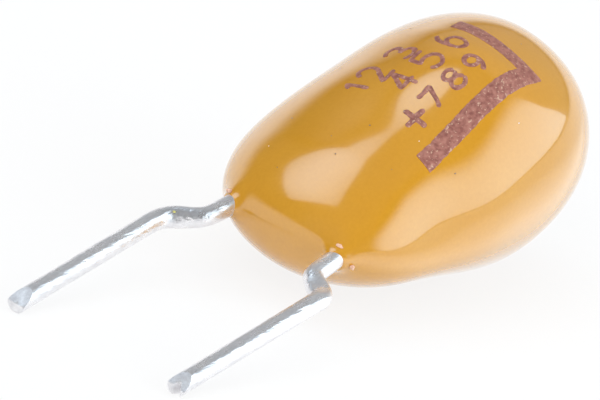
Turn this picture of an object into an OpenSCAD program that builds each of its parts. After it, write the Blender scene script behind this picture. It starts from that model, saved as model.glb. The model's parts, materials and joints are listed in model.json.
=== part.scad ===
// Radial tantalum capacitor, dipped in resin, with formed leads.
//
// The part is first laid out along X in its own lying frame: the resin starts at x = 0 where the
// leads leave it, its dome points along +X, and both lead wires lie in the plane z = 0.
// resting() then turns the whole part to the attitude in which it lies on a table, on its belly
// and both lead tips, and puts the middle of its footprint at the origin.

/* [Slug] */
// Diameter of the pressed and sintered tantalum pellet
pellet_d = 5.4; // [4.6:0.1:6.2]
// Length of the pellet
pellet_len = 4.6; // [3.8:0.1:6]
// Chamfer round both ends of the pellet
pellet_chamfer = 0.35; // [0.2:0.05:0.5]
// Thickness of the manganese dioxide on the outside of the pellet
manganese_t = 0.1; // [0.08:0.01:0.15]
// Thickness of the graphite over the manganese dioxide
graphite_t = 0.04; // [0.03:0.01:0.08]
// Thickness of the silver paint over the graphite
silver_t = 0.06; // [0.04:0.01:0.1]
// Width of the band at the riser end that graphite and silver leave bare
paint_setback = 0.6; // [0.5:0.05:1]

/* [Riser] */
// Diameter of the tantalum riser wire
riser_d = 0.4; // [0.3:0.05:0.5]
// Depth to which the riser wire is pressed into the pellet
riser_depth = 3.2; // [2:0.1:3.6]
// Distance from the slug to the positive lead that crosses the riser
riser_reach = 2.4; // [1.8:0.1:2.8]
// Length of riser wire beyond the middle of the crossing
riser_overrun = 0.75; // [0.6:0.05:1]
// Depth by which the weld presses the two crossing wires into each other
weld_set_down = 0.17; // [0.1:0.01:0.2]
// Diameter of the weld bead round the riser at the crossing
weld_d = 0.9; // [0.8:0.05:1]
// Diameter of the washer on the riser
washer_d = 1.6; // [1.2:0.1:2]
// Thickness of the washer
washer_t = 0.3; // [0.2:0.05:0.5]

/* [Resin] */
// Thickness of the resin over the barrel of the slug
coat_side = 1.18; // [1.1:0.01:1.5]
// Thickness of the resin at the crown of the dome
coat_dome = 1.76; // [1.5:0.02:2.2]
// Length of the resin skirt between its lead end and the slug
skirt_len = 6.6; // [6:0.1:8]
// Fullness of the skirt outside the lead wires
skirt_cover = 2.03; // [1.6:0.01:2.4]
// Depth by which the middle of the skirt hangs below the lead wires
skirt_sag = 0.26; // [0:0.02:0.4]
// Length over which the resin starts to swell before the slug
swell_before = 3.72; // [3:0.02:4.4]
// Length over which the resin goes on swelling past the face of the slug
swell_after = 2.42; // [2:0.02:3]
// Distance from the face of the slug to the fullest ring of the resin
fullest_after = 0.5; // [0.2:0.05:1]
// Bluntness of the lead end seen from the side, where 2 is an ellipse
lead_end_blunt_side = 2.36; // [2:0.02:3]
// Bluntness of the lead end seen from above
lead_end_blunt_top = 2.52; // [2:0.02:3]
// Bluntness of the dome
dome_blunt = 2.72; // [2.4:0.02:3.2]
// Sideways offset of the slug from the middle of the two leads
slug_offset = -0.2; // [-0.3:0.02:0.3]

/* [Leads] */
// Diameter of the lead wire
wire_d = 0.64; // [0.5:0.02:0.7]
// Distance between the two lead tips
lead_pitch = 6.35; // [5.6:0.05:7.5]
// Distance between the leads where they leave the resin
exit_gap = 4.3; // [3.8:0.1:4.8]
// Length of the straight stub between the end of the resin and the jog
stub_len = 0.99; // [0.7:0.01:2]
// Length of the jog along the leads
jog_len = 0.8; // [0.7:0.05:1.5]
// Length of the straight tail beyond the jog
tail_len = 7.2; // [4:0.1:20]
// Bend radius of the jogs, at the middle of the wire
jog_bend_r = 0.45; // [0.4:0.05:0.6]
// Bend radius of the positive lead where it turns towards the riser
turn_bend_r = 0.7; // [0.6:0.05:0.9]
// Length of the positive lead beyond the middle of the crossing
turn_overrun = 0.6; // [0.5:0.05:1]
// Length of the negative lead that lies along the slug
side_run = 2.8; // [2.4:0.1:3.2]
// Distance along the leads from the inner jog to the face of the slug
side_jog_lead = 0.35; // [0.3:0.05:0.6]
// Length of the inner jog along the leads
side_jog_len = 0.9; // [0.8:0.05:1.2]
// Gap between the negative lead and the silver, filled with solder
solder_film = 0.05; // [0.03:0.01:0.1]
// Thickness of the solder round the negative lead
solder_cover = 0.15; // [0.1:0.01:0.2]
// Length over which the solder thins out at each end
solder_taper = 0.5; // [0.3:0.05:0.8]

/* [Ink] */
// Width of the printed polarity bar
bar_w = 0.6; // [0.4:0.05:0.9]
// Length of its long arm, beside the positive lead's edge
bar_long = 5.7; // [4.5:0.1:6.5]
// Length of its short arm, across the part
bar_short = 3.3; // [2:0.1:4]
// Distance from the crown of the dome to the short arm
bar_from_dome = 3.43; // [3:0.05:4]
// Distance from the slug's axis to the outer edge of the long arm
bar_from_axis = 2.45; // [2:0.05:2.7]
// Thickness of the ink
ink_t = 0.04; // [0.03:0.01:0.08]
// Gap between the ink and the true curve of the resin
ink_seat = 0.02; // [0.015:0.005:0.03]

/* [Smoothness] */
// Number of facets round the resin, a multiple of four
facets_round = 56; // [40:4:64]
// Number of rings along the resin
rings = 38; // [30:2:44]

/* [Hidden] */

$fn = 48;
through = 0.5;
bend_lap = 5;
bend_thinning = 0.005;

wire_r = wire_d / 2;
riser_r = riser_d / 2;
pellet_r = pellet_d / 2;
manganese_r = pellet_r + manganese_t;
graphite_r = manganese_r + graphite_t;
silver_r = graphite_r + silver_t;

// Places along X
slug_x = skirt_len;
pellet_x = slug_x + manganese_t;
slug_end_x = pellet_x + pellet_len + manganese_t + graphite_t + silver_t;
crown_x = slug_end_x + coat_dome;
crossing_x = slug_x - riser_reach;
jog_x = -stub_len;
tail_x = jog_x - jog_len;
tip_x = tail_x - tail_len;

// Axis of the slug, which lies below the positive lead by what the weld leaves of the two radii
slug_y = slug_offset;
slug_z = -(wire_r + riser_r - weld_set_down);

// Angle and straight length of a jog that shifts a wire sideways over a length along X
function jog_angle(shift, len) = atan(shift / len);
function jog_straight(shift, len, bend_r) = norm([shift, len]) - 2 * bend_tangent(shift, len, bend_r);
function bend_tangent(shift, len, bend_r) = bend_r * tan(jog_angle(shift, len) / 2);

outer_shift = (lead_pitch - exit_gap) / 2;
outer_angle = jog_angle(outer_shift, jog_len);
outer_tangent = bend_tangent(outer_shift, jog_len, jog_bend_r);
outer_slope = jog_straight(outer_shift, jog_len, jog_bend_r);

side_lead_y = slug_y + sqrt(pow(silver_r + solder_film + wire_r, 2) - pow(slug_z, 2));
side_shift = side_lead_y - exit_gap / 2;
side_angle = jog_angle(side_shift, side_jog_len);
side_tangent = bend_tangent(side_shift, side_jog_len, jog_bend_r);
side_slope = jog_straight(side_shift, side_jog_len, jog_bend_r);
side_x = slug_x - side_jog_lead;

// Resin: half-sizes of its section, before the two ends close it
skirt_half_h = wire_r + skirt_cover;
skirt_half_w = exit_gap / 2 + wire_r + skirt_cover;
barrel_half = silver_r + coat_side;
fullest_x = slug_x + fullest_after;
swell_x0 = slug_x - swell_before;
swell_x1 = slug_x + swell_after;

// Share of the swelling reached at x: an even S-curve from skirt to barrel
function swell(x) =
    let (u = min(max((x - swell_x0) / (swell_x1 - swell_x0), 0), 1))
    u * u * (3 - 2 * u);
function blend(from, to, share) = from + (to - from) * share;

// Share of its full size that an end of the resin has left at x: a superellipse arc
function closing(x, blunt) =
    let (u = x < fullest_x ? 1 - x / fullest_x : (x - fullest_x) / (crown_x - fullest_x))
    pow(max(1 - pow(u, blunt), 0), 1 / blunt);

function half_w(x) =
    closing(x, x < fullest_x ? lead_end_blunt_top : dome_blunt) * blend(skirt_half_w, barrel_half, swell(x));
function half_h(x) =
    closing(x, x < fullest_x ? lead_end_blunt_side : dome_blunt) * blend(skirt_half_h, barrel_half, swell(x));
function mid_y(x) = blend(0, slug_y, swell(x));
function mid_z(x) = blend(-skirt_sag, slug_z, swell(x));
function top_z(x, y) = mid_z(x) + half_h(x) * sqrt(max(1 - pow((y - mid_y(x)) / half_w(x), 2), 0));

// Rings stand closer together towards both ends, where the surface turns fastest
ring_x = [for (i = [0 : rings]) crown_x * (1 - cos(180 * i / rings)) / 2];

// Attitude at rest: the line from the lead tips that just clears the belly
tip_z = -wire_r;
belly_z = [for (x = ring_x) mid_z(x) - half_h(x)];
rest_angle = max([for (i = [0 : rings]) atan((tip_z - belly_z[i]) / (ring_x[i] - tip_x))]);
rest_lift = -(tip_x * sin(rest_angle) + tip_z * cos(rest_angle));
far_x = max([for (i = [0 : rings]) ring_x[i] * cos(rest_angle) - belly_z[i] * sin(rest_angle)]);
near_x = tip_x * cos(rest_angle) + tip_z * sin(rest_angle);
left_y = max([for (x = ring_x) mid_y(x) + half_w(x)]);
right_y = min([for (x = ring_x) mid_y(x) - half_w(x)]);

// Lays the part down: dome raised by the rest angle, lead tips and belly on z = 0
module resting() {
    translate([-(far_x + near_x) / 2, -(left_y + right_y) / 2, rest_lift])
        rotate([0, -rest_angle, 0])
            children();
}

// ---- Parts ----

// Round bar along +X from the origin
module bar_x(r, len) {
    rotate([0, 90, 0]) cylinder(r = r, h = len);
}

// Wire laid out as a bending plan, from the origin along +X. Each step is a straight length, the
// bend after it as an angle (left is positive), and the bend's radius. The last step has no bend.
// A bend laps into the straights on both sides of it, and is drawn a little thinner than they are.
module bent_wire(r, plan, step = 0) {
    len_now = plan[step][0];
    turn = plan[step][1];
    bend_r = plan[step][2];
    side = sign(turn);
    bar_x(r, len_now);
    if (turn != 0) {
        translate([len_now, side * bend_r, 0]) {
            rotate([0, 0, (side > 0 ? -90 : 90 + turn) - bend_lap])
                rotate_extrude(angle = abs(turn) + 2 * bend_lap)
                    translate([bend_r, 0]) circle(r = r - bend_thinning);
            rotate([0, 0, turn])
                translate([0, -side * bend_r, 0])
                    bent_wire(r, plan, step + 1);
        }
    }
}

// Drum along +X from the origin with both edges chamfered
module drum(r, len, chamfer) {
    rotate([90, 0, 90])
        rotate_extrude()
            polygon([
                [0, 0], [r - chamfer, 0], [r, chamfer],
                [r, len - chamfer], [r - chamfer, len], [0, len]
            ]);
}

// Chamfer of a layer that lies at one even depth over the pellet's own chamfer
function chamfer_over(depth) = pellet_chamfer + depth * (2 - sqrt(2));

// Places its children on the slug's axis, at x
module on_slug_axis(x) {
    translate([x, slug_y, slug_z]) children();
}

// The pellet grown by a depth on all sides
module grown_pellet(depth) {
    on_slug_axis(pellet_x - depth)
        drum(pellet_r + depth, pellet_len + 2 * depth, chamfer_over(depth));
}

// A painted cup: what a layer covers of the slug, from the bare band to past the far end
module painted(depth) {
    difference() {
        grown_pellet(depth);
        on_slug_axis(slug_x - through)
            bar_x(silver_r + through, paint_setback + through);
    }
}

module riser_form() {
    on_slug_axis(crossing_x - riser_overrun)
        bar_x(riser_r, pellet_x + riser_depth - crossing_x + riser_overrun);
}

module washer_form() {
    on_slug_axis(pellet_x - washer_t)
        bar_x(washer_d / 2, washer_t);
}

module weld_form() {
    on_slug_axis(crossing_x) sphere(d = weld_d);
}

module positive_lead_form() {
    translate([tip_x, -lead_pitch / 2, 0])
        bent_wire(wire_r, [
            [tail_len - outer_tangent, outer_angle, jog_bend_r],
            [outer_slope, -outer_angle, jog_bend_r],
            [stub_len + crossing_x - outer_tangent - turn_bend_r, 90, turn_bend_r],
            [exit_gap / 2 + slug_y + turn_overrun - turn_bend_r, 0, 0]
        ]);
}

module negative_lead_form() {
    translate([tip_x, lead_pitch / 2, 0])
        bent_wire(wire_r, [
            [tail_len - outer_tangent, -outer_angle, jog_bend_r],
            [outer_slope, outer_angle, jog_bend_r],
            [stub_len + side_x - side_jog_len - outer_tangent - side_tangent, side_angle, jog_bend_r],
            [side_slope, -side_angle, jog_bend_r],
            [side_run + side_jog_lead - side_tangent, 0, 0]
        ]);
}

// Solder round the stretch of lead that lies along the silver, thinning out at both ends
module solder_form() {
    solder_x = slug_x + paint_setback;
    solder_len = side_run - paint_setback;
    solder_r = wire_r + solder_cover;
    translate([solder_x, side_lead_y, 0])
        rotate([90, 0, 90])
            rotate_extrude()
                polygon([
                    [0, 0], [wire_r + solder_film, 0], [solder_r, solder_taper],
                    [solder_r, solder_len - solder_taper], [wire_r + solder_film, solder_len],
                    [0, solder_len]
                ]);
}

// Resin surface as rings of points, closed by one pole at each end
module resin_form() {
    n = facets_round;
    inner = [for (i = [1 : rings - 1]) ring_x[i]];
    points = concat(
        [[0, mid_y(0), mid_z(0)]],
        [for (x = inner, k = [0 : n - 1])
            [x, mid_y(x) + half_w(x) * cos(360 * k / n), mid_z(x) + half_h(x) * sin(360 * k / n)]],
        [[crown_x, mid_y(crown_x), mid_z(crown_x)]]
    );
    last = len(points) - 1;
    top_ring = 1 + (rings - 2) * n;
    faces = concat(
        [for (k = [0 : n - 1]) [0, 1 + k, 1 + (k + 1) % n]],
        [for (i = [0 : rings - 3], k = [0 : n - 1])
            let (a = 1 + i * n + k, b = 1 + i * n + (k + 1) % n) [a, a + n, b + n]],
        [for (i = [0 : rings - 3], k = [0 : n - 1])
            let (a = 1 + i * n + k, b = 1 + i * n + (k + 1) % n) [a, b + n, b]],
        [for (k = [0 : n - 1]) [last, top_ring + (k + 1) % n, top_ring + k]]
    );
    polyhedron(points = points, faces = faces);
}

module resin_coat() {
    color("darkgoldenrod")
        resting()
            difference() {
                resin_form();
                grown_pellet(manganese_t);
                painted(manganese_t + graphite_t + silver_t);
                washer_form();
                riser_form();
                weld_form();
                positive_lead_form();
                negative_lead_form();
                solder_form();
            }
}

module anode_pellet() {
    color("dimgray")
        resting()
            difference() {
                grown_pellet(0);
                riser_form();
            }
}

module manganese_layer() {
    color("black")
        resting()
            difference() {
                grown_pellet(manganese_t);
                grown_pellet(0);
                on_slug_axis(slug_x - through) bar_x(washer_d / 2, manganese_t + 2 * through);
            }
}

module graphite_layer() {
    color("darkslategray")
        resting()
            difference() {
                painted(manganese_t + graphite_t);
                grown_pellet(manganese_t);
            }
}

module silver_layer() {
    color("silver")
        resting()
            difference() {
                painted(manganese_t + graphite_t + silver_t);
                painted(manganese_t + graphite_t);
            }
}

module riser_wire() {
    color("slategray")
        resting()
            difference() {
                riser_form();
                positive_lead_form();
            }
}

module riser_washer() {
    color("white")
        resting()
            difference() {
                washer_form();
                riser_form();
            }
}

module riser_weld() {
    color("lightgray")
        resting()
            difference() {
                weld_form();
                riser_form();
                positive_lead_form();
            }
}

module positive_lead() {
    color("gainsboro") resting() positive_lead_form();
}

module negative_lead() {
    color("gainsboro") resting() negative_lead_form();
}

module cathode_solder() {
    color("lightsteelblue")
        resting()
            difference() {
                solder_form();
                negative_lead_form();
                painted(manganese_t + graphite_t + silver_t);
            }
}

// Printed bar: a ribbon with one square corner, laid on the upper side of the resin
module polarity_bar() {
    long_steps = 26;
    short_steps = 16;
    strips = 3;
    outer_x = crown_x - bar_from_dome;
    outer_y = slug_y - bar_from_axis;
    start_x = outer_x - bar_long;
    end_y = outer_y + bar_short;
    // Place on the ribbon at a step along it, at a share of its width in from the outer edge
    function place(step, share) =
        let (corner_x = outer_x - share * bar_w, corner_y = outer_y + share * bar_w)
        step < long_steps
            ? [blend(start_x, corner_x, step / long_steps), corner_y]
            : [corner_x, blend(corner_y, end_y, (step - long_steps) / short_steps)];
    steps = long_steps + short_steps;
    row = strips + 1;
    sheet = (steps + 1) * row;
    flat = [for (i = [0 : steps], j = [0 : strips]) place(i, j / strips)];
    points = [for (lift = [ink_seat, ink_seat + ink_t]) for (p = flat)
        [p[0], p[1], top_z(p[0], p[1]) + lift]];
    cells = [for (i = [0 : steps - 1], j = [0 : strips - 1]) i * row + j];
    faces = concat(
        [for (a = cells) each [[a, a + row, a + row + 1], [a, a + row + 1, a + 1]]],
        [for (a = cells) let (b = a + sheet) each [[b, b + row + 1, b + row], [b, b + 1, b + row + 1]]],
        [for (i = [0 : steps - 1], j = [0, strips])
            let (a = i * row + j, b = a + row, up = j == 0)
            each [up ? [a, a + sheet, b + sheet] : [a, b + sheet, a + sheet],
                up ? [a, b + sheet, b] : [a, b, b + sheet]]],
        [for (i = [0, steps], j = [0 : strips - 1])
            let (a = i * row + j, b = a + 1, up = i == 0)
            each [up ? [a, b + sheet, a + sheet] : [a, a + sheet, b + sheet],
                up ? [a, b, b + sheet] : [a, b + sheet, b]]]
    );
    color("saddlebrown")
        resting()
            polyhedron(points = points, faces = faces);
}

resin_coat();
anode_pellet();
manganese_layer();
graphite_layer();
silver_layer();
riser_wire();
riser_washer();
riser_weld();
positive_lead();
negative_lead();
cathode_solder();
polarity_bar();
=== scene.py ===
# %% [markdown]
# # A dipped tantalum capacitor
# A small electronic part, 22 mm long: a slug of sintered metal under a thick
# drop of amber epoxy, with two tinned wires that leave one end. The cells below
# load its solids as a fixed frame, lay finely shaped pieces over the ones that
# show, give every piece a material made of nodes, and set up lamps and a camera.

# %% Tools and the frame
import json
import math
import bpy
import numpy as np
from mathutils import Matrix


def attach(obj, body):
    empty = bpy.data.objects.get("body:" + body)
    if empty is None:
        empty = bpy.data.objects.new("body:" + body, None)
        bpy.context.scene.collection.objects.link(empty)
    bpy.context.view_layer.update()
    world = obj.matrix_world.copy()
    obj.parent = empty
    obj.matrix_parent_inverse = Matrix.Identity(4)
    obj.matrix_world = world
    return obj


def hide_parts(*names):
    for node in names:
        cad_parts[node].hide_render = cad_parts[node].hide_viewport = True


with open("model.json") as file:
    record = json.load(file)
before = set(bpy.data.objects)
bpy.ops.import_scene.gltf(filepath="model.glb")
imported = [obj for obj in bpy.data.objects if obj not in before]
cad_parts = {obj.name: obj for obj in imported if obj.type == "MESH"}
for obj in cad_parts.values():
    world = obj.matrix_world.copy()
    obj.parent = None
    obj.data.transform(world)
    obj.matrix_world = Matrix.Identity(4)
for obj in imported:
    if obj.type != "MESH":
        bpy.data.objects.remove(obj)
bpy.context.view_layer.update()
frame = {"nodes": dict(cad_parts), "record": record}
nodes = frame["nodes"]
print("CAD nodes:", len(nodes))

# %% [markdown]
# The capacitor lies on its belly and on the tips of its wires, so its own axis
# rises towards the dome. It is far easier to think of it lying level, with x
# along the wires, y across them and z up. The record keeps where each wire's
# tail sits and which way it points, and that is enough to carry points from the
# level position into the place where the solids rest.

# %% From the level position to the resting one
MM = 0.001
MOUNT_X = -5.5

tails = {m["name"]: m for m in frame["record"]["mounts"]}
plus_at = np.array(tails["positive_lead_tail"]["pos_m"])
minus_at = np.array(tails["negative_lead_tail"]["pos_m"])
along = -np.array(tails["positive_lead_tail"]["axis"])
along /= np.linalg.norm(along)
across = (minus_at - plus_at) / np.linalg.norm(minus_at - plus_at)
upward = np.cross(along, across)
level_axes = np.array([along, across, upward])
level_origin = (plus_at + minus_at) / 2 - along * MOUNT_X * MM


def rest(points):
    """Level millimetres to resting metres: each coordinate times its own axis, plus the origin."""
    return np.asarray(points, float) * MM @ level_axes + level_origin


print("nose rises by", round(math.degrees(math.asin(along[2])), 3), "degrees")

# %% [markdown]
# Every new piece is a grid of points from a formula, so one helper can turn a
# grid into a mesh. Rows run along the piece and columns run round it. A row end
# can close to a single point, a pole, which leaves no hole in the surface.

# %% A grid of points becomes a closed mesh
def ring_faces(rows, columns, first=0):
    """Quads between each row and the next, columns wrapping round, as an array of corner numbers."""
    i, k = np.meshgrid(np.arange(rows - 1), np.arange(columns), indexing="ij")
    here, beside = i * columns + k, i * columns + (k + 1) % columns
    return (np.stack([here, here + columns, beside + columns, beside], -1) + first).reshape(-1, 4)


def closed_tube(grid, first_pole, last_pole):
    """Points and faces of a tube whose two ends close to a pole each."""
    rows, columns = grid.shape[:2]
    points = np.concatenate([[first_pole], grid.reshape(-1, 3), [last_pole]])
    k = np.arange(columns)
    after = (k + 1) % columns
    last, final = len(points) - 1, 1 + (rows - 1) * columns
    start_fan = np.stack([np.zeros_like(k), 1 + k, 1 + after], -1)
    end_fan = np.stack([np.full_like(k, last), final + after, final + k], -1)
    quads = ring_faces(rows, columns, 1)
    return points, start_fan.tolist() + quads.tolist() + end_fan.tolist()


def make_piece(name, points, faces, sharp=None, marks=None):
    """A mesh object at the origin, its points in resting metres, smooth but for edges over sharp degrees.

    marks holds named values, one for each point, that a material can read.
    """
    mesh = bpy.data.meshes.new(name)
    mesh.from_pydata(rest(points).tolist(), [], faces)
    for mark, values in (marks or {}).items():
        mesh.attributes.new(mark, "FLOAT", "POINT").data.foreach_set("value", np.asarray(values, "f"))
    mesh.shade_smooth()
    if sharp:
        mesh.set_sharp_from_angle(angle=math.radians(sharp))
    piece = bpy.data.objects.new(name, mesh)
    bpy.context.scene.collection.objects.link(piece)
    size = np.ptp(points, axis=0)
    print(name, len(faces), "faces, level size (mm)", np.round(size, 2).tolist())
    return piece


def merge(parts):
    """Several (points, faces) pairs as one, each part's corner numbers moved on past the last."""
    points, faces, count = [], [], 0
    for part_points, part_faces in parts:
        points.append(part_points)
        faces += [[c + count for c in face] for face in part_faces]
        count += len(part_points)
    return np.concatenate(points), faces


# %% [markdown]
# The resin is a drop that was dipped and cured. It starts as a wide flat skirt
# where it wets the two wires and swells to a round barrel over the slug. A
# subdivided cage could be pushed into this shape by hand, but a formula is
# exact and easy to change: every slice across the axis is an ellipse, and four
# curves along the axis say how wide and tall it is and where its middle lies.

# %% Curves along the resin
LENGTH = 13.26
FULLEST_X = 7.1
SLUG_Y = -0.2
SKIRT = (4.5, 2.35, 0.0, -0.26)  # half width, half height, middle y and z before the swell
BARREL = (4.08, 4.08, SLUG_Y, -0.35)  # the same four after it
SWELL = (2.88, 9.02)  # x where the swell begins and where it ends
TOP_POWER, SIDE_POWER, DOME_POWER = 2.52, 2.36, 2.72  # 2 ends in an ellipse, and more is blunter
WIRE_R = 0.32
EXIT_Y = 2.15


def smooth(u):
    """0 below 0, 1 above 1, and u^2 * (3 - 2u) between, which has no kink."""
    u = np.clip(u, 0, 1)
    return u * u * (3 - 2 * u)


def swell(x):
    """How far the skirt has become the barrel: smooth from 0 before SWELL to 1 after it."""
    return smooth((x - SWELL[0]) / (SWELL[1] - SWELL[0]))


def closing(x, lead_end_power):
    """The share of full size left near an end: (1 - u^p)^(1/p).

    u goes from 0 at the fullest place to 1 at the end.
    """
    before = x < FULLEST_X
    u = np.where(before, 1 - x / FULLEST_X, (x - FULLEST_X) / (LENGTH - FULLEST_X))
    power = np.where(before, lead_end_power, DOME_POWER)
    return (1 - np.clip(u, 0, 1) ** power) ** (1 / power)


def section(x):
    """Half width, half height and centre of the slice at x: skirt and barrel mixed by swell.

    Both halves are then multiplied by closing.
    """
    s = swell(x)
    wide, tall, mid_y, mid_z = [(1 - s) * a + s * b for a, b in zip(SKIRT, BARREL)]
    return wide * closing(x, TOP_POWER), tall * closing(x, SIDE_POWER), mid_y, mid_z


print("widest slice (mm):", np.round(section(np.array([FULLEST_X])), 3).ravel().tolist())

# %% [markdown]
# Thick resin sags before it sets. The drop is a few tenths of a millimetre
# fuller in some places and thinner in others, and its highlights bend with it.
# Each place is one line of a short list: where it is along the axis and round
# it, how far it reaches both ways, and how high it stands. A bell-shaped curve
# gives every place a soft edge, so that the skin has no kink. A list like this
# is changed line by line, where noise could only be rolled again.

# %% The sag of the drop
LEAST_RADIUS, ROUNDS = 0.3, 6
SWELLS = (
    # x mm, angle round from +Y, reach along in mm, reach round in degrees, height in mm
    (0.4, 140, 1.0, 35, 0.22),  # over the positive lead's exit
    (2.8, 270, 2.2, 60, 0.22),  # belly of the neck
    (3.4, 105, 2.0, 42, 0.42),  # over the neck
    (3.6, 167, 1.9, 37, -0.55),  # hollow beside the neck
    (7.2, 110, 2.0, 28, 0.09),  # under the print
    (7.7, 62, 2.0, 26, -0.28),  # hollow beside the print
    (9.0, 166, 2.8, 40, 0.23),  # shoulder of the dome, positive side
    (9.5, 10, 3.4, 45, 0.20),  # negative side of the dome
    (10.2, 262, 3.2, 40, -0.20),  # flat under the dome
    (10.4, 110, 2.0, 28, -0.20),  # flat on top of the dome
)


def sag(x, turn):
    """Relief in mm: each swell adds height * exp(-(x apart / reach)^2 - (angle apart / reach round)^2)."""
    total = 0 * (x + turn)
    for middle_x, middle_turn, reach, reach_round, height in SWELLS:
        apart = (turn - math.radians(middle_turn) + math.pi) % (2 * math.pi) - math.pi
        bell = np.exp(-(((x - middle_x) / reach) ** 2) - (apart / math.radians(reach_round)) ** 2)
        total = total + height * bell
    return total


def fullness(x, turn):
    """The slice's size against its plain ellipse: 1 + sag / radius, the radius at least LEAST_RADIUS."""
    wide, tall, _, _ = section(x)
    radius = np.hypot(wide * np.cos(turn), tall * np.sin(turn))
    return 1 + sag(x, turn) / np.maximum(radius, LEAST_RADIUS)


def resin_top(x, y):
    """Height of the skin over a place in the plan: middle z + tall * size * sin(turn).

    The turn depends on the size and the size on the turn, so a few rounds correct both.
    """
    wide, tall, mid_y, mid_z = section(np.asarray(x, float))
    size = 1.0
    for _ in range(ROUNDS):
        turn = np.arccos(np.clip((y - mid_y) / (wide * size), -1, 1))
        size = fullness(x, turn)
    return mid_z + tall * size * np.sin(turn)


print("resin height at the print:", round(float(resin_top(7.0, 0.0)), 3), "mm above the wires")

# %% [markdown]
# Liquid resin climbs the wires it wets, so round each exit the surface rises in
# a little collar. The collar is part of the same skin: near an exit every point
# is drawn back along the wire by an amount that dies away with its distance
# from it.

# %% The resin skin
RESIN_ROWS, RESIN_COLUMNS = 230, 400
COLLARS = ((-1, 0.36, 0.20), (1, 0.30, 0.18))  # side of the part, rise and reach in mm
COLLARS_END_X = 3


def resin_point(x, turn):
    """The skin at x and at an angle round the axis: an ellipse point, its sag, then the collars."""
    wide, tall, mid_y, mid_z = section(x)
    size = fullness(x, turn)
    y, z = mid_y + wide * size * np.cos(turn), mid_z + tall * size * np.sin(turn)
    p = np.stack([x + 0 * turn, y, z], -1)
    for side, rise, reach in COLLARS:
        away = np.hypot(p[..., 1] - side * EXIT_Y, p[..., 2]) - WIRE_R
        p[..., 0] -= rise * np.exp(-np.clip(away, 0, None) / reach) * (p[..., 0] < COLLARS_END_X)
    return p


spacing = (np.arange(RESIN_ROWS) + 1) / (RESIN_ROWS + 1)
ring_x = LENGTH * (1 - np.cos(np.pi * spacing)) / 2
turns = 2 * np.pi * np.arange(RESIN_COLUMNS) / RESIN_COLUMNS
skin = resin_point(ring_x[:, None], turns[None, :])
lead_end, dome_end = [0, SKIRT[2], SKIRT[3]], [LENGTH, BARREL[2], BARREL[3]]
points, faces = closed_tube(skin, lead_end, dome_end)
resin_body = make_piece("resin_body", points, [face[::-1] for face in faces])
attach(resin_body, "root")
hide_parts("resin_coat")

# %% [markdown]
# The two leads are tinned wire. A machine bends each one in a small jog, and
# its jaws leave the wire a little flat there. A wire is a circle carried along
# a path. The path is found from its heading, which is the turn so far, because
# a heading is simple to write down as straight runs and bends.

# %% A path from straight runs and bends
PATH_STEP = 0.03
TIP_X = -8.99
PITCH = 6.35
JOG_R, TURN_R = 0.45, 0.7


def heading_path(plan, soften=0.0):
    """Points, headings and distances along a plan of (run, turn, radius).

    The heading is the turn so far, and the place is the sum of its cosine and
    sine. Softening averages the heading over a bell of that many mm. A bend is
    made of whole steps, so it can end one step's turn away from its plan,
    which is 4 degrees in a jog.
    """
    lengths, rates = [], []
    for run, turn, radius in plan:
        bend = abs(math.radians(turn)) * radius
        lengths += [run] + ([bend] if bend else [])
        rates += [0.0] + ([math.copysign(1 / radius, turn)] if bend else [])
    ends = np.cumsum(lengths)
    s = np.arange(0, ends[-1], PATH_STEP)
    rate = np.array(rates)[np.searchsorted(ends, s, side="right").clip(0, len(rates) - 1)]
    heading = np.cumsum(rate) * PATH_STEP
    if soften:
        reach = int(3 * soften / PATH_STEP)
        bell = np.exp(-0.5 * (np.arange(-reach, reach + 1) * PATH_STEP / soften) ** 2)
        padded = np.pad(heading, reach, mode="edge")
        heading = np.convolve(padded, bell / bell.sum(), mode="valid")
    x = np.concatenate([[0], np.cumsum(np.cos(heading))])[:-1] * PATH_STEP
    y = np.concatenate([[0], np.cumsum(np.sin(heading))])[:-1] * PATH_STEP
    return np.stack([x, y], -1), heading, s


# %% [markdown]
# Each lead is a list of straight runs, every one followed by a bend. Both start
# at the tip with a straight tail, the jog and a short stub. Inside the resin
# the positive lead turns across to the riser wire, and the negative one jogs
# out again and lies along the slug. A bend uses up a little of the straight
# runs beside it, its tangent length, which is radius * tan(turn / 2).

# %% The plans of both leads
TAIL, STUB = 7.2, 0.99
JOG_TURN, JOG_SLANT = 52.0284, 0.861
CROSSING_X, OVERRUN = 4.2, 0.6
SLUG_FACE_X = 6.6
SIDE_LEAD, SIDE_JOG, SIDE_RUN = 0.35, 0.9, 2.8
SIDE_TURN, SIDE_SLANT = 45.04, 0.9005

jog_tangent = JOG_R * math.tan(math.radians(JOG_TURN / 2))
side_tangent = JOG_R * math.tan(math.radians(SIDE_TURN / 2))
plus_plan = [
    (TAIL - jog_tangent, JOG_TURN, JOG_R),
    (JOG_SLANT, -JOG_TURN, JOG_R),
    (STUB + CROSSING_X - jog_tangent - TURN_R, 90, TURN_R),
    (EXIT_Y + SLUG_Y + OVERRUN - TURN_R, 0, 0),
]
minus_plan = [
    (TAIL - jog_tangent, -JOG_TURN, JOG_R),
    (JOG_SLANT, JOG_TURN, JOG_R),
    (STUB + SLUG_FACE_X - SIDE_LEAD - SIDE_JOG - jog_tangent - side_tangent, SIDE_TURN, JOG_R),
    (SIDE_SLANT, -SIDE_TURN, JOG_R),
    (SIDE_RUN + SIDE_LEAD - side_tangent, 0, 0),
]
for name, plan in (("plus", plus_plan), ("minus", minus_plan)):
    track = heading_path(plan)[0]
    along_it, aside = np.round(track[-1], 2).tolist()
    print(name, "lead", len(track), "steps, ends", along_it, "mm along and", aside, "mm aside of its tip")

# %% [markdown]
# The end of a lead is where cutters closed on it. They leave a slope on the
# upper side and a small flat face under it, and on one lead a notch. Both are
# made by one rule: no point of the wire may lie in front of the cut surface,
# which is a depth written over y and z.

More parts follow.
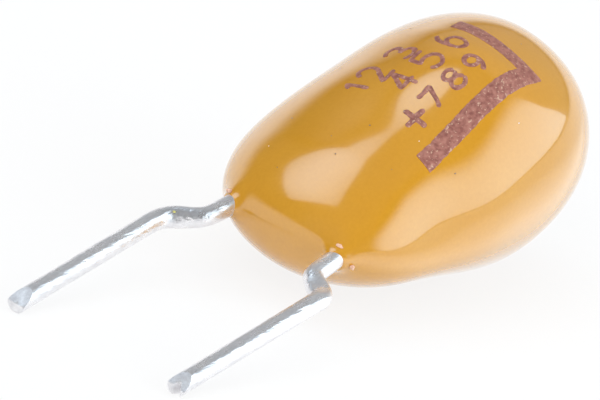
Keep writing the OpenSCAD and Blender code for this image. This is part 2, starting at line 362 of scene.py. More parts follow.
# %% Cut ends
def sloped_cut(y, z):
    """How far the cut lies behind the tip: 2 z - 0.15 y - 0.02, and nothing where that is below 0."""
    return np.clip(2.0 * z - 0.15 * y - 0.02, 0, None)


def notched_cut(y, z):
    """The larger of a slope, 1.7 z - 0.4 y - 0.03, and a groove under it that is deepest at the middle."""
    groove = 0.26 * np.clip(1 - np.abs(y + 0.02) / 0.16, 0, None) * np.clip((0.1 - z) / 0.06, 0, 1)
    return np.maximum(1.7 * z - 0.4 * y - 0.03, groove)


for name, cut in (("slope", sloped_cut), ("notch", notched_cut)):
    print(name, "cuts back the wire's top by", round(float(cut(0, WIRE_R)), 2), "mm")

# %% [markdown]
# The jog is a little wider and lower than the round wire, where the bending
# tool pressed it. One tail leans in by less than a tenth of a millimetre,
# because no tail is quite straight. Every step of the path carries one circle,
# set across the heading, and the first circles are cut back as above.

# %% Wires
WIRE_COLUMNS = 44
WOBBLE = 0.008
CAP_SHARES = np.array([0.2, 0.4, 0.6, 0.8, 0.93])
JOG_MIDDLE, JOG_REACH, PAST_JOG = TAIL + 0.43, 0.5, 1.2
BROADENED, FLAT_SHARE = 0.2, 0.6


def flattened(height, flat):
    """Heights held below a flat level: h / (1 + |h / flat|^8)^(1/8), which hardly moves a low point."""
    return height / (1 + np.abs(height / flat) ** 8) ** 0.125


def leaning(points, lean):
    """Points moved along y by lean at the tip and by nothing at the jog, in proportion between."""
    share = np.clip((TIP_X + TAIL - points[..., 0]) / TAIL, 0, 1)
    return points + lean * share[..., None] * [0, 1, 0]


def pressed_circles(s, press, tilt):
    """How far across the path and above it each point of every circle lies: r * cos(a) and r * sin(a).

    Round the jog the circle is broadened, and pressed flat by jaws that close
    at a tilt in degrees.
    """
    pressed = press * np.exp(-(((s - JOG_MIDDLE) / JOG_REACH) ** 2))[:, None]
    around = 2 * np.pi * np.arange(WIRE_COLUMNS) / WIRE_COLUMNS - math.radians(tilt)
    wobble = 1 + WOBBLE * np.sin(2.1 * s)[:, None] * np.cos(2 * around + 0.7)[None, :]
    broad = WIRE_R * (1 + BROADENED * pressed) * wobble * np.cos(around)
    deep = WIRE_R * wobble * np.sin(around)
    deep = (1 - pressed) * deep + pressed * flattened(deep, FLAT_SHARE * WIRE_R)
    cosine, sine = math.cos(math.radians(tilt)), math.sin(math.radians(tilt))
    return cosine * broad - sine * deep, sine * broad + cosine * deep


def wire(name, plan, side, cut, soften, press, tilt=0.0, lean=0.0):
    """Circles carried along the plan's path, each set across its heading, and cut at the tip.

    The path's shift to the side is scaled so that the lead enters the resin at
    its own exit.
    """
    track, heading, s = heading_path(plan, soften)
    shift, wanted = track[:, 1].copy(), side * (EXIT_Y - PITCH / 2)
    past_jog = s > JOG_MIDDLE + PAST_JOG
    done = shift[np.argmax(past_jog)]
    track[:, 1] = np.where(past_jog, shift - done + wanted, shift * wanted / done)
    out, high = pressed_circles(s, press, tilt)
    tip_y = side * PITCH / 2
    x = TIP_X + track[:, :1] - out * np.sin(heading)[:, None]
    y = tip_y + track[:, 1:] + out * np.cos(heading)[:, None]
    grid = np.stack([x, y, high], -1)
    limit = TIP_X + cut(grid[..., 1] - tip_y, grid[..., 2])
    sheared = grid[..., 0] < limit + 0.01
    grid[..., 0] = np.maximum(grid[..., 0], limit)
    rim = grid[0, :, 1:] - [tip_y, 0]
    cap = rim[None] * CAP_SHARES[:, None, None]
    cap_x = TIP_X + cut(cap[..., 0], cap[..., 1])
    cap = np.stack([cap_x, cap[..., 0] + tip_y, cap[..., 1]], -1)
    tip = np.array([TIP_X + float(cut(0.0, 0.0)), tip_y, 0])
    rings = leaning(np.concatenate([cap, grid]), lean)
    points, faces = closed_tube(rings, leaning(tip, lean), grid[-1].mean(0))
    marks = {"cut_face": np.concatenate([np.ones(1 + cap[..., 0].size), sheared.ravel(), [1]])}
    return make_piece(name, points, [face[::-1] for face in faces], sharp=38, marks=marks)


plus_wire = wire("plus_wire", plus_plan, -1, notched_cut, 0.05, 1.0, lean=0.08)
minus_wire = wire("minus_wire", minus_plan, 1, sloped_cut, 0.32, 0.6, 58)
for piece, node in ((plus_wire, "positive_lead"), (minus_wire, "negative_lead")):
    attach(piece, "root")
    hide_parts(node)

# %% [markdown]
# The marks are stamped in brown ink that stands a few hundredths of a
# millimetre proud. A picture of them could be laid over the resin, but real
# thickness keeps its edge from every side. Each stroke is a strip in the plan
# whose points are dropped onto the resin, with its underside just below it.
# The edges wander a little, as the edge of a rubber stamp does.

# %% Strips of ink on the resin
INK_LIFT, INK_SEAT, INK_STEP = 0.02, -0.06, 0.04
STRIP_SHARES = np.array([-1, -0.9, -0.55, 0, 0.55, 0.9, 1])
STROKE_RAGGED, STRIPE_RAGGED = 0.009, 0.012
random = np.random.default_rng(7)


def wander(count, size):
    """Seeded noise along an edge: random steps, each summed with its neighbours by the weights given."""
    rough = random.normal(0, size, count + 4)
    return np.convolve(rough, np.array([1, 2, 3, 2, 1]) / 5, mode="valid")


def inked(left, right):
    """A closed strip between two plan lines: its top follows the resin, its underside lies just below."""
    share = (STRIP_SHARES + 1) / 2
    plan = left[:, None] * (1 - share)[None, :, None] + right[:, None] * share[None, :, None]
    ground = resin_top(plan[..., 0], plan[..., 1])
    edge = 1 - np.abs(STRIP_SHARES) ** 8
    top = np.dstack([plan, ground + INK_LIFT * (0.35 + 0.65 * edge)])
    under = np.dstack([plan, ground + INK_SEAT])[:, ::-1]
    rings = np.concatenate([top, under], axis=1)
    return closed_tube(rings, rings[0].mean(0), rings[-1].mean(0))


def resample(line):
    """The same line with points at an even step along its length."""
    line = np.asarray(line, float)
    length = np.concatenate([[0], np.cumsum(np.hypot(*np.diff(line, axis=0).T))])
    s = np.linspace(0, length[-1], max(4, int(length[-1] / INK_STEP)))
    return np.stack([np.interp(s, length, line[:, i]) for i in (0, 1)], -1)


def stroke(line, width):
    """A strip of one width along a plan line: half of it lies on each side, less near the round ends."""
    line = resample(line)
    ahead = np.gradient(line, axis=0)
    ahead /= np.hypot(*ahead.T)[:, None]
    side = np.stack([-ahead[:, 1], ahead[:, 0]], -1)
    s = np.arange(len(line)) * INK_STEP
    near_end = np.minimum(s, s[::-1]) / width
    round_end = np.sqrt(np.clip(1 - np.clip(1 - near_end * 2.4, 0, 1) ** 2, 0.12, 1))
    half = (width / 2 * round_end)[:, None]
    n = len(line)
    left = line + side * (half + wander(n, STROKE_RAGGED)[:, None])
    right = line - side * (half + wander(n, STROKE_RAGGED)[:, None])
    return inked(right, left)


# %% [markdown]
# A stripe with one corner marks the side of the positive lead, so that nobody
# fits the part the wrong way round. Its arms meet in a mitre. It replaces the
# coarse stripe of the solids with the same outline and a stamped edge.

# %% The polarity stripe
STRIPE_W = 0.6
STRIPE_FROM_DOME, STRIPE_FROM_AXIS = 3.43, 2.45
STRIPE_CORNER = np.array([LENGTH - STRIPE_FROM_DOME, SLUG_Y - STRIPE_FROM_AXIS])
STRIPE_LONG, STRIPE_SHORT = 5.7, 3.3

start = STRIPE_CORNER - [STRIPE_LONG, 0]
finish = STRIPE_CORNER + [0, STRIPE_SHORT]
outer = resample([start, STRIPE_CORNER, finish])
inset = np.array([-STRIPE_W, STRIPE_W])
inner_corner = STRIPE_CORNER + inset
along_long = np.clip((outer[:, 0] - start[0]) / STRIPE_LONG, 0, 1)
along_short = np.clip((outer[:, 1] - STRIPE_CORNER[1]) / STRIPE_SHORT, 0, 1)
inner = np.stack([
    start[0] + (inner_corner[0] - start[0]) * along_long,
    inner_corner[1] + (finish[1] - inner_corner[1]) * along_short,
], -1)
outer = outer + wander(len(outer), STRIPE_RAGGED)[:, None] * [0.7, -0.7]
inner = inner + wander(len(inner), STRIPE_RAGGED)[:, None] * [-0.7, 0.7]
points, faces = inked(outer, inner)
polarity_stripe = make_piece("polarity_stripe", points, faces, sharp=50)
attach(polarity_stripe, "root")
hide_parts("polarity_bar")

# %% [markdown]
# Beside the stripe stand three rows of plain figures and the plus sign of the
# positive lead. Each figure is drawn in a unit box with straight lines and
# parts of ellipses, as a stencil maker would, and then set in its place.

# %% The figures in a unit box
def bow(cx, cy, rx, ry, begin, end):
    """Part of an ellipse round (cx, cy), from one angle to another in degrees."""
    a = np.radians(np.linspace(begin, end, 28))
    return np.stack([cx + rx * np.cos(a), cy + ry * np.sin(a)], -1)


FIGURES = {
    "1": [[(0.2, 0.74), (0.55, 1), (0.55, 0)]],
    "2": [np.concatenate([bow(0.48, 0.7, 0.4, 0.3, 165, -35), [(0.08, 0), (0.92, 0)]])],
    "3": [bow(0.46, 0.76, 0.36, 0.24, 155, -90), bow(0.46, 0.27, 0.42, 0.27, 90, -155)],
    "4": [[(0.72, 0), (0.72, 1), (0.05, 0.32), (0.98, 0.32)]],
    "5": [np.concatenate([
        [(0.86, 1), (0.2, 1), (0.12, 0.55)],
        bow(0.46, 0.32, 0.42, 0.32, 118, -150),
    ])],
    "6": [np.concatenate([
        bow(0.62, 0.45, 0.52, 0.55, 100, 180),
        bow(0.5, 0.31, 0.4, 0.31, 180, 530),
    ])],
    "7": [[(0.06, 1), (0.94, 1), (0.36, 0)]],
    "8": [bow(0.5, 0.76, 0.33, 0.24, 0, 360), bow(0.5, 0.27, 0.4, 0.27, 0, 360)],
    "9": [np.concatenate([bow(0.38, 0.55, 0.52, 0.55, -80, 0), bow(0.5, 0.69, 0.4, 0.31, 0, 350)])],
    "+": [[(0, 0.5), (1, 0.5)], [(0.5, 0), (0.5, 1)]],
}
print("figures:", " ".join(FIGURES))

# %% [markdown]
# Each row is one piece. A figure has a place in the plan and a size of its own,
# because a hand-cut stamp is never even, and its lines become strokes of ink.

# %% Three rows of figures
STROKE_W, PLUS_STROKE_W = 0.15, 0.19
ROWS = {  # figure, x, y, width and height, in mm
    "figures_upper": [
        ("1", 5.15, 0.92, 0.55, 0.85), ("2", 5.85, 0.72, 0.68, 1.1), ("3", 7.02, 0.7, 0.72, 0.95),
    ],
    "figures_middle": [
        ("4", 5.82, -0.34, 0.62, 0.95), ("5", 6.9, -0.44, 0.78, 1.0), ("6", 8.1, -0.5, 0.68, 1.1),
    ],
    "figures_lower": [
        ("+", 4.7, -1.62, 0.86, 0.9), ("7", 5.72, -1.5, 0.64, 0.74),
        ("8", 6.72, -1.55, 0.64, 0.76), ("9", 7.68, -1.58, 0.64, 0.7),
    ],
}
for name, row in ROWS.items():
    parts = []
    for figure, x, y, wide, tall in row:
        width = PLUS_STROKE_W if figure == "+" else STROKE_W
        for line in FIGURES[figure]:
            parts.append(stroke(np.asarray(line, float) * [wide, tall] + [x, y], width))
    points, faces = merge(parts)
    piece = make_piece(name, points, faces, sharp=50)
    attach(piece, "root")

# %% [markdown]
# Cured resin is never quite clean. Specks of dust sank into it before it set,
# flecks of resin stand by the wires, and a crumb of flux sits on one jog. Pale
# specks are painted glints on the gloss. Each is a lumpy pebble: an ellipsoid
# whose radius waves with its two angles.

# %% Dust, flecks, painted glints and flux
def pebble(centre, sizes, phase):
    """An ellipsoid of three half sizes, closed at its poles, its radius 1 + a wave of both angles."""
    latitude = np.linspace(-75, 75, 7) * np.pi / 180
    longitude = 2 * np.pi * np.arange(12) / 12
    la, lo = latitude[:, None], longitude[None, :]
    radius = 1 + 0.18 * np.sin(3 * lo + phase) * np.cos(la) + 0.12 * np.sin(2 * lo - 2 * phase + 4 * la)
    level = radius * np.cos(la)
    ball = np.stack([level * np.cos(lo), level * np.sin(lo), radius * np.sin(la)], -1)
    ends = np.array([[0, 0, -1.0], [0, 0, 1.0]])
    points, faces = closed_tube(ball, ends[0], ends[1])
    return points * sizes + centre, [face[::-1] for face in faces]


def on_resin(places, phase_step):
    """A flat pebble half sunk in the resin at every (x, y, half size), each with a phase of its own."""
    return [
        pebble([x, y, float(resin_top(x, y))], [size, size * 0.8, size * 0.35], phase_step * i)
        for i, (x, y, size) in enumerate(places)
    ]


DUST = [
    (1.43, 1.26, 0.028), (2.49, -0.13, 0.032), (4.03, -0.25, 0.036), (3.07, 0.49, 0.024),
    (3.17, -1.84, 0.022), (4.86, -3.10, 0.034), (8.9, 1.9, 0.03), (6.4, 2.7, 0.026),
    (10.6, -1.2, 0.028), (3.6, 2.4, 0.03),
]
# Painted glints: near-white specks on the resin that stand in for small highlights.
PAINTED_GLINTS = [(4.58, -1.79, 0.026), (7.74, -3.34, 0.034), (9.4, 2.4, 0.028), (2.2, 2.2, 0.024)]
SCRAPS = {
    "dust_specks": ("resin", on_resin(DUST, 2.3)),
    "pale_specks": ("resin", on_resin(PAINTED_GLINTS, 1.7)),
    "resin_flecks": ("resin", [
        pebble([0.42, -2.08, 0.42], [0.10, 0.13, 0.07], 0.4),
        pebble([0.50, -2.62, -0.16], [0.07, 0.08, 0.08], 2.0),
        pebble([0.45, 2.30, 0.36], [0.08, 0.10, 0.06], 3.1),
    ]),
    "flux_crumb": ("solder", [pebble([-1.62, 2.84, 0.25], [0.09, 0.06, 0.04], 1.2)]),
}
for name, (slot, parts) in SCRAPS.items():
    piece = make_piece(name, *merge(parts))
    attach(piece, "root")

# %% [markdown]
# Every finish is a small tree of nodes. Patterns read Object coordinates, which
# are metres from the origin, so a noise of scale 1000 has features a millimetre
# across. These helpers make a material, add nodes to it and link them.

# %% Helpers for materials
def finish_of(name):
    """A new material as a tree with its Principled shader."""
    made = bpy.data.materials.new(name)
    made.use_nodes = True
    return made, made.node_tree, made.node_tree.nodes["Principled BSDF"]


def add(tree, kind, sockets=None, **fields):
    """A node of one kind. sockets maps inputs to values or to outputs, and fields are its own settings."""
    made = tree.nodes.new("ShaderNode" + kind)
    for field, value in fields.items():
        setattr(made, field, value)
    for socket, value in (sockets or {}).items():
        if isinstance(value, bpy.types.NodeSocket):
            tree.links.new(value, made.inputs[socket])
        else:
            made.inputs[socket].default_value = value
    return made


def maths(tree, operation, *values):
    """The result of a Math node on one, two or three values."""
    return add(tree, "Math", dict(enumerate(values)), operation=operation).outputs[0]


def noise(tree, scale, detail=2.0, stretch=None, turn=(0, 0, 0)):
    """Noise on Object coordinates, which a Mapping node stretches and then turns where a stretch is given."""
    place = tree.nodes.new("ShaderNodeTexCoord").outputs["Object"]
    if stretch:
        sockets = {"Vector": place, "Rotation": turn, "Scale": stretch}
        place = add(tree, "Mapping", sockets).outputs[0]
    return add(tree, "TexNoise", {"Vector": place, "Scale": scale, "Detail": detail}).outputs["Fac"]


def spread(tree, value, low, high, from_low=0.3, from_high=0.7):
    """A noise value carried onto the range from low to high."""
    sockets = {"Value": value, "From Min": from_low, "From Max": from_high, "To Min": low, "To Max": high}
    return add(tree, "MapRange", sockets).outputs[0]


def blend_colours(tree, share, first, second):
    """Two colours mixed by a share from 0 to 1."""
    made = add(tree, "Mix", data_type="RGBA")
    for socket, value in ((0, share), (6, first), (7, second)):
        if isinstance(value, bpy.types.NodeSocket):
            tree.links.new(value, made.inputs[socket])
        else:
            made.inputs[socket].default_value = value if socket == 0 else (*value, 1)
    return made.outputs[2]


def bump(tree, shader, height, distance):
    """Small relief: the height moves the normal as if a height of 1 stood that many metres proud."""
    made = add(tree, "Bump", {"Height": height, "Distance": distance, "Strength": 1.0})
    tree.links.new(made.outputs[0], shader.inputs["Normal"])


def dress(material, *pieces):
    """The only material of each piece."""
    for piece in pieces:
        piece.data.materials.clear()
        piece.data.materials.append(material)
    print(material.name, "on", ", ".join(piece.name for piece in pieces))


# %% [markdown]
# Cured epoxy is amber with fine pigment in it and a wet gloss on top. The gloss
# is a clear coat over a slightly softer layer. Slow noise shifts the amber a
# little, fine noise gives the pigment its grain, and a faint relief bends the
# highlights as a skin that set in air does.

# %% Amber resin
AMBER, HONEY, OCHRE = (0.61, 0.280, 0.020), (0.64, 0.310, 0.028), (0.54, 0.235, 0.014)

amber, tree, shader = finish_of("amber_resin")
slow = spread(tree, noise(tree, 210), 0, 1)
grain = spread(tree, noise(tree, 9000, 3), 0, 0.35)
colour = blend_colours(tree, slow, AMBER, HONEY)
colour = blend_colours(tree, grain, colour, OCHRE)
tree.links.new(colour, shader.inputs["Base Color"])
tree.links.new(spread(tree, noise(tree, 700), 0.14, 0.20), shader.inputs["Roughness"])
shader.inputs["IOR"].default_value = 1.6
shader.inputs["Coat Weight"].default_value = 1.0
shader.inputs["Coat Roughness"].default_value = 0.03
shader.inputs["Coat IOR"].default_value = 1.6
bump(tree, shader, noise(tree, 650, 1.5), 0.000004)
dress(amber, resin_body)

# %% [markdown]
# The ink is a dull red-brown, stamped thin enough that grains of the resin show
# through it. One noise mixes two browns, a threshold on a finer one makes the
# grains, and a third roughens the surface.

# %% Stamped ink
UMBER, RUST, BARE = (0.235, 0.075, 0.056), (0.40, 0.165, 0.122), (0.62, 0.42, 0.30)

ink, tree, shader = finish_of("umber_ink")
patchy = spread(tree, noise(tree, 6500, 4), 0, 1, 0.36, 0.64)
colour = blend_colours(tree, patchy, UMBER, RUST)
bare = spread(tree, noise(tree, 11000, 2), 0, 0.8, 0.61, 0.69)
colour = blend_colours(tree, bare, colour, BARE)
tree.links.new(colour, shader.inputs["Base Color"])
shader.inputs["Roughness"].default_value = 0.5
bump(tree, shader, noise(tree, 8000, 2), 0.00001)
dress(ink, polarity_stripe, *[bpy.data.objects[name] for name in ROWS])

# %% [markdown]
# Tin on wire is a soft grey mirror. Drawing the wire leaves fine lines along
# it, and the tin lies in slightly thicker and thinner patches, so the edge of a
# reflection is never quite straight. Both are noise drawn out along x, because
# the Mapping node multiplies x by less than y and z. The scale works before the
# turn, so the turn only picks another part of the noise. The wires climb a few
# degrees from x, and that breaks the lines up into short ones. The faces that
# the cutters left are rougher, and a mark on every point says which they are.

# %% Tinned wire
TIN, DULL_TIN = (0.93, 0.92, 0.93), (0.79, 0.78, 0.80)
CUT_ROUGH = 0.28  # how much rougher a cut face is
NOSE_TURN = (0, math.asin(along[2]), 0)

tin, tree, shader = finish_of("tinned_wire")
lines = noise(tree, 1, 3, stretch=(600, 9000, 9000), turn=NOSE_TURN)
patches = noise(tree, 1, 2, stretch=(1800, 3600, 3600), turn=NOSE_TURN)
colour = blend_colours(tree, spread(tree, patches, 0, 1), TIN, DULL_TIN)
tree.links.new(colour, shader.inputs["Base Color"])
shader.inputs["Metallic"].default_value = 0.8
cut_face = add(tree, "Attribute", attribute_name="cut_face").outputs["Fac"]
drawn_rough = spread(tree, patches, 0.22, 0.39)
rough = maths(tree, "MULTIPLY_ADD", cut_face, CUT_ROUGH, drawn_rough)
tree.links.new(rough, shader.inputs["Roughness"])
bump(tree, shader, maths(tree, "ADD", lines, patches), 0.000026)
dress(tin, plus_wire, minus_wire)

# %% [markdown]
# Dust is a dull brown, the pale specks are painted glints, near white, the
# flecks are a pale pink lighter than the resin, and flux dries to a yellow-green
# glass. The difference between them is two shades and a gloss, so the helper
# that follows serves all of them.

# %% One helper for plain mottled finishes
def grainy(name, first, second, roughness, grain_size, relief, metallic=0.0):
    """Two shades mixed by noise with features grain_size metres across, and relief from the same noise."""
    made, tree, shader = finish_of(name)
    mottle = noise(tree, 1 / grain_size, 3)
    colour = blend_colours(tree, spread(tree, mottle, 0, 1), first, second)
    tree.links.new(colour, shader.inputs["Base Color"])
    tree.links.new(spread(tree, mottle, roughness - 0.06, roughness + 0.06), shader.inputs["Roughness"])
    shader.inputs["Metallic"].default_value = metallic
    bump(tree, shader, mottle, relief)
    return made


SCRAP_FINISHES = {
    "dust_specks": grainy("brown_dust", (0.16, 0.10, 0.06), (0.30, 0.20, 0.13), 0.7, 0.00002, 0.000004),
    # The glint specks are painted highlights, near white.
    "pale_specks": grainy("painted_glint_white", (0.85, 0.75, 0.60), (0.95, 0.88, 0.78), 0.3, 0.00002, 0.000002),
    # The flecks are pale pink pebbles, lighter than the resin.
    "resin_flecks": grainy("pale_fleck", (0.76, 0.42, 0.27), (0.84, 0.56, 0.42), 0.35, 0.00005, 0.000004),
    "flux_crumb": grainy("dried_flux", (0.55, 0.50, 0.12), (0.70, 0.64, 0.22), 0.3, 0.00004, 0.000004),
}
for name, material in SCRAP_FINISHES.items():
    dress(material, bpy.data.objects[name])

# %% [markdown]
# The inner pieces are hidden by the resin, but someone may lift it off. The
# slug is sintered metal powder, black with a crust of manganese dioxide, then
# graphite, then silver paint. The same helper makes these finishes, with the
# grain of each at its own size.

# %% Inner finishes
INNER = {
    "anode_pellet": grainy(
        "sintered_tantalum", (0.10, 0.10, 0.11), (0.19, 0.19, 0.20), 0.62, 0.00006, 0.00003, 0.7),
    "manganese_layer": grainy(
        "manganese_crust", (0.02, 0.02, 0.022), (0.05, 0.046, 0.045), 0.8, 0.00009, 0.00003),
    "graphite_layer": grainy(
        "graphite_skin", (0.05, 0.05, 0.052), (0.09, 0.09, 0.092), 0.45, 0.00014, 0.00001),
    "silver_layer": grainy(
        "silver_paint", (0.62, 0.61, 0.59), (0.72, 0.71, 0.69), 0.42, 0.0001, 0.00001, 0.85),
    "riser_wire": grainy(
        "tantalum_wire", (0.28, 0.28, 0.31), (0.36, 0.36, 0.39), 0.32, 0.00025, 0.000005, 1.0),
    "riser_washer": grainy(
        "washer_plastic", (0.80, 0.80, 0.78), (0.86, 0.86, 0.85), 0.38, 0.0003, 0.000006),
    "riser_weld": grainy(
        "weld_metal", (0.42, 0.40, 0.38), (0.58, 0.58, 0.60), 0.36, 0.0002, 0.00002, 1.0),
    "cathode_solder": grainy(
        "solder", (0.60, 0.60, 0.61), (0.72, 0.72, 0.74), 0.28, 0.00045, 0.00003, 1.0),
}
for name, material in INNER.items():
    dress(material, nodes[name])

# %% [markdown]
# The table is a plain white sheet that curves up at its rim, as paper in a
# small studio does. Its colour and its glow are painted darker towards the rim,
# a painted shade where the lamps' light would fall off, so that the resin
# mirrors a soft horizon. For rays from the camera, and for mirror and glass
# rays, it is mostly its own white, so that the ground stays clean while the
# part's soft shadow still shows.

# %% The table
TABLE_FLAT, TABLE_EDGE = 0.8, 1.0  # metres from the middle
RIM_HEIGHTS = (0.32, 0.17)  # mean height in metres, and how much more it is at +Y
FADE_FROM = (0.80, -0.12)  # mean share of the rising part before the fading, and the change at +Y
# The rim grey is painted shade: the colour the sheet falls to at its rim, where the lamps' light would fall
# off.
TABLE_WHITE, OWN_WHITE, RIM_PAINTED_SHADE = 0.86, 0.85, (0.05, 0.05, 0.05)


def table_point(away, turn):
    """A place on the sheet: flat to TABLE_FLAT, then rising with the square of the distance beyond it."""
    share = np.clip((away - TABLE_FLAT) / (TABLE_EDGE - TABLE_FLAT), 0, 1)
    rim = RIM_HEIGHTS[0] + RIM_HEIGHTS[1] * np.sin(turn)
    return np.stack([away * np.cos(turn), away * np.sin(turn), rim * share**2], -1)


def painted_rim_shade(away, turn):
    """Painted shade of the sheet: 1 on the flat part, falling to 0 at the edge of the sheet, sooner at +Y
    than at -Y.
    """
    share = (away - TABLE_FLAT) / (TABLE_EDGE - TABLE_FLAT)
    start = FADE_FROM[0] + FADE_FROM[1] * np.sin(turn)
    return 1 - smooth((share - start) / (1 - start))


away = np.concatenate([[0.02, 0.2, 0.5], np.linspace(TABLE_FLAT, TABLE_EDGE, 40)])
turns = np.linspace(0, 2 * np.pi, 96, endpoint=False)
sheet = table_point(away[:, None], turns[None, :])
k = np.arange(len(turns))
middle = np.stack([np.full_like(k, sheet.size // 3), (k + 1) % len(turns), k], -1)
sheet_points = np.concatenate([sheet.reshape(-1, 3), [[0, 0, 0]]])
mesh = bpy.data.meshes.new("table")
sheet_faces = middle[:, ::-1].tolist() + ring_faces(*sheet.shape[:2]).tolist()
mesh.from_pydata(sheet_points.tolist(), [], sheet_faces)
# The glow mark is painted shade: 1 on the flat part, falling to 0 at the rim.
glow = np.append(painted_rim_shade(away[:, None], turns[None, :]).ravel(), 1.0)
mesh.attributes.new("glow", "FLOAT", "POINT").data.foreach_set("value", glow.astype("f"))
mesh.shade_smooth()
table = bpy.data.objects.new("table", mesh)
bpy.context.scene.collection.objects.link(table)
low, high = sheet[-1, :, 2].min(), sheet[-1, :, 2].max()
print("table", len(sheet_faces), "faces, rim", round(float(low), 2), "to", round(float(high), 2), "m high")

# %% [markdown]
# The paper's material is a mixture. Rays that light other things meet matt
# white paper, and rays that are seen, straight or in a mirror or glass, meet a
# glow that never passes 1. A fixed share of real paper is kept in what is seen,
# and that share carries the shadow.

# %% White paper
paper, tree, shader = finish_of("white_table")
shader.inputs["Roughness"].default_value = 0.9
glow = add(tree, "Attribute", attribute_name="glow").outputs["Fac"]
# Towards the rim the paper's colour and its seen glow are painted darker, a painted shade.
paper_colour = blend_colours(tree, glow, RIM_PAINTED_SHADE, [TABLE_WHITE] * 3)
tree.links.new(paper_colour, shader.inputs["Base Color"])
path = tree.nodes.new("ShaderNodeLightPath").outputs
straight, mirrored = path["Is Camera Ray"], path["Is Glossy Ray"]
seen = maths(tree, "MAXIMUM", straight, mirrored)
seen = maths(tree, "MAXIMUM", seen, path["Is Transmission Ray"])
share = maths(tree, "MULTIPLY", seen, OWN_WHITE)
white = add(tree, "Emission", {"Color": (1, 1, 1, 1), "Strength": glow}).outputs[0]
mix = add(tree, "MixShader", {0: share, 1: shader.outputs[0], 2: white})
tree.links.new(mix.outputs[0], tree.nodes["Material Output"].inputs["Surface"])
dress(paper, table)

# %% [markdown]
# Lamps, sheets and the camera all look at the part, so each is placed by the
# direction in which the part would see it and by how far away it stands.

# %% Places seen from the part
LAMP_AWAY = 1.4


def direction(azimuth, elevation):
    """A unit vector from an angle round z, counter-clockwise from x, and an angle above the table."""
    a, e = math.radians(azimuth), math.radians(elevation)
    return np.array([math.cos(e) * math.cos(a), math.cos(e) * math.sin(a), math.sin(e)])


def facing(azimuth, elevation, roll):
    """Right, up and back axes of something that looks at the part from a direction.

    Back points away from the part, and roll turns the other two about it.
    """
    back = direction(azimuth, elevation)
    right = np.cross([0, 0, 1], back)
    right /= np.linalg.norm(right)
    up = np.cross(back, right)
    cosine, sine = math.cos(math.radians(roll)), math.sin(math.radians(roll))
    return right * cosine + up * sine, up * cosine - right * sine, back


def aimed(azimuth, elevation, roll, half_wide, half_tall):
    """Middle, right half and upper half of a sheet that faces the part from LAMP_AWAY.

    The two halves are given as tangents of the angles that they take up.
    """
    right, up, back = facing(azimuth, elevation, roll)
    return back * LAMP_AWAY, right * half_wide * LAMP_AWAY, up * half_tall * LAMP_AWAY


def placed(middle, right, up, back):
    """The matrix of something at middle whose own x, y and z point right, up and back."""
    turned = Matrix(np.array([right, up, back]).T.tolist()).to_4x4()
    return Matrix.Translation(middle.tolist()) @ turned


# %% [markdown]
# Two soft boxes show as pale panes on the resin. A real one is brightest at its
# middle and fades at its edges, so each is a sheet that glows by its own UV
# map. A third, dim sheet stands beyond the dome and gives the wires their grey
# band.

# %% Soft boxes
def falling_step(tree, value, begin, end):
    """1 where the value is below begin, 0 where it is above end, with a smooth step between."""
    sockets = {"Value": value, "From Min": begin, "From Max": end, "To Min": 1, "To Max": 0}
    return add(tree, "MapRange", sockets, interpolation_type="SMOOTHSTEP").outputs[0]


def flat_sheet(name, sheet, reach):
    """A sheet whose UV map runs from -reach to reach: a point is middle + right * u + up * v."""
    middle, right, up = sheet
    signs = np.array([(-1, -1), (1, -1), (1, 1), (-1, 1)], float)
    points = [middle + (right * u + up * v) * reach for u, v in signs]
    mesh = bpy.data.meshes.new(name)
    mesh.from_pydata([p.tolist() for p in points], [], [(0, 1, 2, 3)])
    mesh.uv_layers.new(name="glow").data.foreach_set("uv", (signs * reach).ravel().astype("f"))
    made = bpy.data.objects.new(name, mesh)
    bpy.context.scene.collection.objects.link(made)
    half_sizes = [round(float(np.linalg.norm(half)), 2) for half in (right, up)]
    print(name, "half sizes (m):", half_sizes)
    return made


def soft_box(name, sheet, radiance, fade, edge, tint=(1, 1, 1), square=12):
    """A glowing sheet over u and v from -1 to 1: lit * (1 - fade * (u^2 + v^2) / 2) * radiance.

    lit drops from 1 to 0 within edge of where (|u|^p + |v|^p)^(1/p) is 1, and
    p = square: 2 is an ellipse, and a large p has corners.
    """
    box = flat_sheet(name, sheet, 1 + edge)
    glow, tree, _ = finish_of(name)
    uv = add(tree, "UVMap", uv_map="glow").outputs[0]
    apart = add(tree, "VectorMath", {0: uv, 1: uv}, operation="DOT_PRODUCT").outputs["Value"]
    fading = maths(tree, "MULTIPLY_ADD", apart, -fade / 2, 1.0)
    size = add(tree, "VectorMath", {0: uv}, operation="ABSOLUTE").outputs[0]
    sides = add(tree, "SeparateXYZ", {0: size}).outputs
    powers = [maths(tree, "POWER", sides[i], square) for i in (0, 1)]
    norm = maths(tree, "POWER", maths(tree, "ADD", *powers), 1 / square)
    lit = falling_step(tree, norm, 1 - edge, 1 + edge)
    strength = maths(tree, "MULTIPLY", maths(tree, "MULTIPLY", lit, fading), radiance)
    light = add(tree, "Emission", {"Color": (*tint, 1), "Strength": strength}).outputs[0]
    tree.links.new(light, tree.nodes["Material Output"].inputs["Surface"])
    dress(glow, box)
    box.visible_camera = False
    box.visible_shadow = False


soft_box("far_soft_box", aimed(111, 61, 87, 0.34, 0.29), 2.6, 0.6, 0.09, (0.74, 0.87, 1.0))
soft_box("near_soft_box", aimed(-54, 18, -26, 0.85, 0.70), 2.5, 0.6, 0.26, (0.77, 0.91, 1.0), 2.3)
soft_box("dome_side_card", aimed(12, 36, 0, 0.9, 0.6), 0.31, 0.1, 0.25)

# %% [markdown]
# A white card lies on the table beside the part, where the near soft box falls
# on it. It shows only as a reflection, and brightens the resin's lower side as
# such a card does in a studio. Its edges turn clear, so that none is mirrored.

# %% The card on the table
CARD_MIDDLE_X, CARD_EDGE_Y, CARD_Z = 0.004, -0.0036, 0.0003
CARD_REACH, CARD_SOFT, CARD_RADIANCE = 0.25, 0.004, 1.95

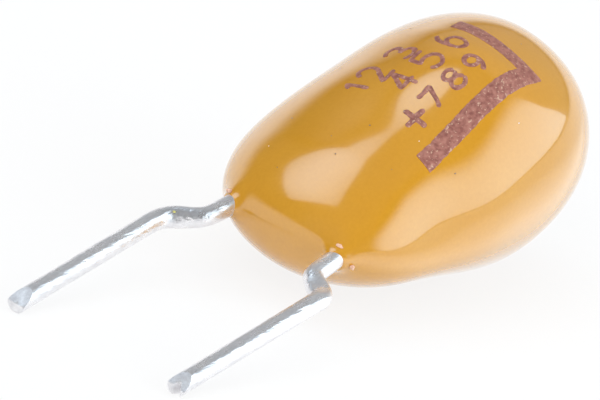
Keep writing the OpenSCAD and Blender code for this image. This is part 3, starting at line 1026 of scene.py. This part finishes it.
u, v = np.meshgrid(np.linspace(-1, 1, 60), np.linspace(0, 1, 40), indexing="ij")
card_x, card_y = CARD_MIDDLE_X + CARD_REACH * u**3, CARD_EDGE_Y - CARD_REACH * v**3
glow = smooth((CARD_EDGE_Y - card_y) / CARD_SOFT) * (1 - smooth(np.abs(u))) * (1 - smooth(v))
corners = np.arange(u.size).reshape(u.shape)
squares = np.stack([corners[:-1, :-1], corners[:-1, 1:], corners[1:, 1:], corners[1:, :-1]], -1)
card_points = np.stack([card_x, card_y, CARD_Z + 0 * u], -1).reshape(-1, 3)
mesh = bpy.data.meshes.new("table_card")
mesh.from_pydata(card_points.tolist(), [], squares.reshape(-1, 4).tolist())
mesh.attributes.new("glow", "FLOAT", "POINT").data.foreach_set("value", glow.ravel().astype("f"))
card = bpy.data.objects.new("table_card", mesh)
bpy.context.scene.collection.objects.link(card)
card_white, tree, _ = finish_of("table_card")
solid = add(tree, "Attribute", attribute_name="glow").outputs["Fac"]
clear = add(tree, "BsdfTransparent").outputs[0]
white = add(tree, "Emission", {"Color": (1, 1, 1, 1), "Strength": CARD_RADIANCE}).outputs[0]
mix = add(tree, "MixShader", {0: solid, 1: clear, 2: white})
tree.links.new(mix.outputs[0], tree.nodes["Material Output"].inputs["Surface"])
dress(card_white, card)
card.visible_camera = False
card.visible_diffuse = False
card.visible_shadow = False
print("card on the table:", len(card_points), "points")

# %% [markdown]
# Broad fill lamps lift the sides that the soft boxes leave dark. They are hidden
# from mirror rays, so they leave no image of their own on the gloss. The energy
# of each is worked out as its radiance times pi times its area, so that a wider
# lamp gives more light and looks no brighter. A dim grey sky fills what is left.

# %% Fill lamps and sky
FILLS = {  # azimuth, elevation, width in metres, radiance
    "top_fill": (20, 84, 1.6, 1.45),
    "lead_side_fill": (-175, 35, 1.4, 2.6),
    "near_fill": (-85, 18, 1.2, 2.0),
}
SKY = (0.06, 0.06, 0.062, 1)

for name, (azimuth, elevation, size, radiance) in FILLS.items():
    data = bpy.data.lights.new(name, "AREA")
    data.shape = "DISK"
    data.size = size
    data.energy = radiance * math.pi**2 * size**2 / 4
    fill = bpy.data.objects.new(name, data)
    right, up, back = facing(azimuth, elevation, 0)
    fill.matrix_world = placed(back * LAMP_AWAY, right, up, back)
    fill.visible_camera = False
    fill.visible_glossy = False
    bpy.context.scene.collection.objects.link(fill)

sky = bpy.data.worlds.new("grey_studio")
sky.use_nodes = True
sky.node_tree.nodes["Background"].inputs["Color"].default_value = SKY
sky.node_tree.nodes["Background"].inputs["Strength"].default_value = 1.0
bpy.context.scene.world = sky
print("fills:", list(FILLS))

# %% [markdown]
# A long lens keeps the part's shape true. The camera is given by its angles
# round the part and above the table, its roll, how far away it is and what it
# aims at.

# %% Camera
CAMERA_AZIMUTH, CAMERA_ELEVATION, CAMERA_ROLL = -149.589, 21.251, 14.918
CAMERA_AWAY, LENS, SENSOR = 0.3, 578.2, 36
CAMERA_AIM = np.array([-0.001279, 0.000110, 0.003380])

lens = bpy.data.cameras.new("camera")
lens.sensor_width = SENSOR
lens.lens = LENS
lens.clip_start = 0.01
camera = bpy.data.objects.new("camera", lens)
right, up, back = facing(CAMERA_AZIMUTH, CAMERA_ELEVATION, CAMERA_ROLL)
camera.matrix_world = placed(CAMERA_AIM + back * CAMERA_AWAY, right, up, back)
bpy.context.scene.collection.objects.link(camera)
bpy.context.scene.camera = camera
bpy.context.scene.view_settings.view_transform = "Standard"
print("camera at (mm)", [round(v * 1000, 2) for v in camera.matrix_world.translation])
